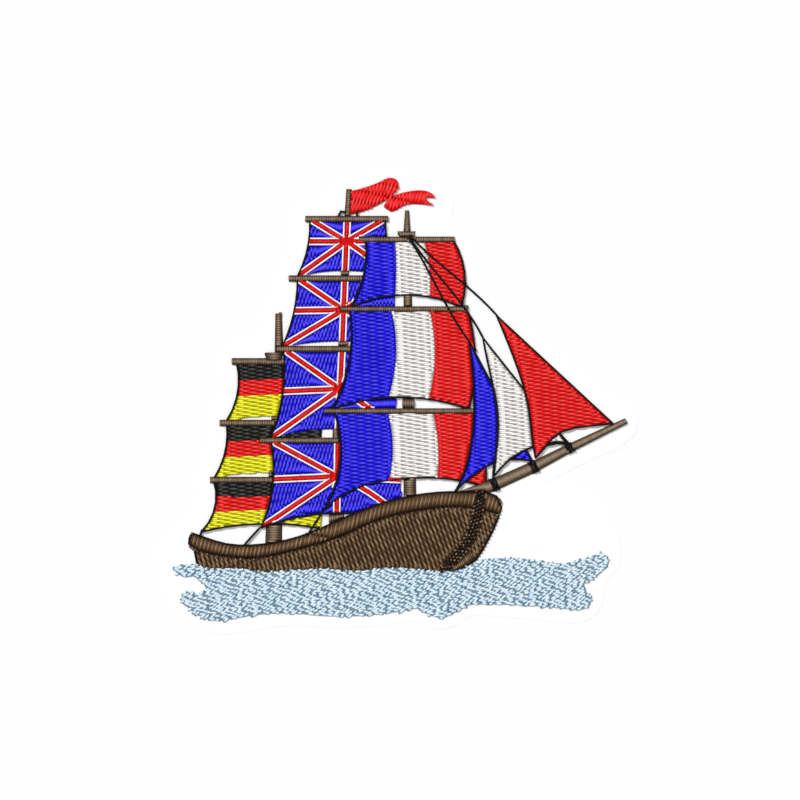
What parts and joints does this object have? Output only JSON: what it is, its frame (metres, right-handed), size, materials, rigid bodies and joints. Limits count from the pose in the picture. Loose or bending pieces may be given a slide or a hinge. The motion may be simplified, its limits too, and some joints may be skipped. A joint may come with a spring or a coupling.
{
  "type": "embroidered sailing ship patch",
  "caption": "Machine-embroidered cloth patch of a square-rigged sailing ship with flag-coloured sails on water, cut round its outline, lying flat to be sewn or glued on.",
  "frame": {"origin": "on the back of the cloth, at the middle of the embroidery", "axes": "+Z out of the embroidered face, +Y up the masts, +X towards the bow"},
  "size_m": [0.0954, 0.093, 0.0013],
  "materials": {
    "white_twill": "matt woven",
    "spar_brown_thread": "lustrous thread",
    "hull_brown_thread": "lustrous thread",
    "black_thread": "lustrous thread",
    "red_thread": "lustrous thread",
    "blue_thread": "lustrous thread",
    "white_thread": "lustrous thread",
    "yellow_thread": "lustrous thread",
    "pale_blue_thread": "lustrous thread"
  },
  "bodies": {
    "root": {"ground_cloth": "white_twill", "water": "pale_blue_thread", "hull_side": "hull_brown_thread", "hull_rail": "hull_brown_thread", "stem_band": "hull_brown_thread", "hull_outline": "black_thread", "mizzen_mast": "spar_brown_thread", "main_mast": "spar_brown_thread", "fore_mast": "spar_brown_thread", "bowsprit": "spar_brown_thread", "bowsprit_lashings": "black_thread", "inner_jib": "blue_thread", "middle_jib": "white_thread", "outer_jib": "red_thread", "pennant": "red_thread", "mizzen_outline": "black_thread", "main_outline": "black_thread", "fore_outline": "black_thread", "jib_outline": "black_thread", "rigging_lines": "black_thread", "mizzen_yard_1": "spar_brown_thread", "mizzen_yard_2": "spar_brown_thread", "mizzen_yard_3": "spar_brown_thread", "main_yard_1": "spar_brown_thread", "main_yard_2": "spar_brown_thread", "main_yard_3": "spar_brown_thread", "main_yard_4": "spar_brown_thread", "fore_yard_1": "spar_brown_thread", "fore_yard_2": "spar_brown_thread", "fore_yard_3": "spar_brown_thread", "mizzen_topgallant_black": "black_thread", "mizzen_topgallant_red": "red_thread", "mizzen_topgallant_yellow": "yellow_thread", "mizzen_topsail_black": "black_thread", "mizzen_topsail_red": "red_thread", "mizzen_topsail_yellow": "yellow_thread", "mizzen_course_black": "black_thread", "mizzen_course_red": "red_thread", "mizzen_course_yellow": "yellow_thread", "main_royal_blue": "blue_thread", "main_royal_white": "white_thread", "main_royal_red": "red_thread", "main_topgallant_blue": "blue_thread", "main_topgallant_white": "white_thread", "main_topgallant_red": "red_thread", "main_topsail_blue": "blue_thread", "main_topsail_white": "white_thread", "main_topsail_red": "red_thread", "main_course_blue": "blue_thread", "main_course_white": "white_thread", "main_course_red": "red_thread", "fore_topgallant_blue": "blue_thread", "fore_topgallant_white": "white_thread", "fore_topgallant_red": "red_thread", "fore_topsail_blue": "blue_thread", "fore_topsail_white": "white_thread", "fore_topsail_red": "red_thread", "fore_course_blue": "blue_thread", "fore_course_white": "white_thread", "fore_course_red": "red_thread"}
  },
  "joints": []
}
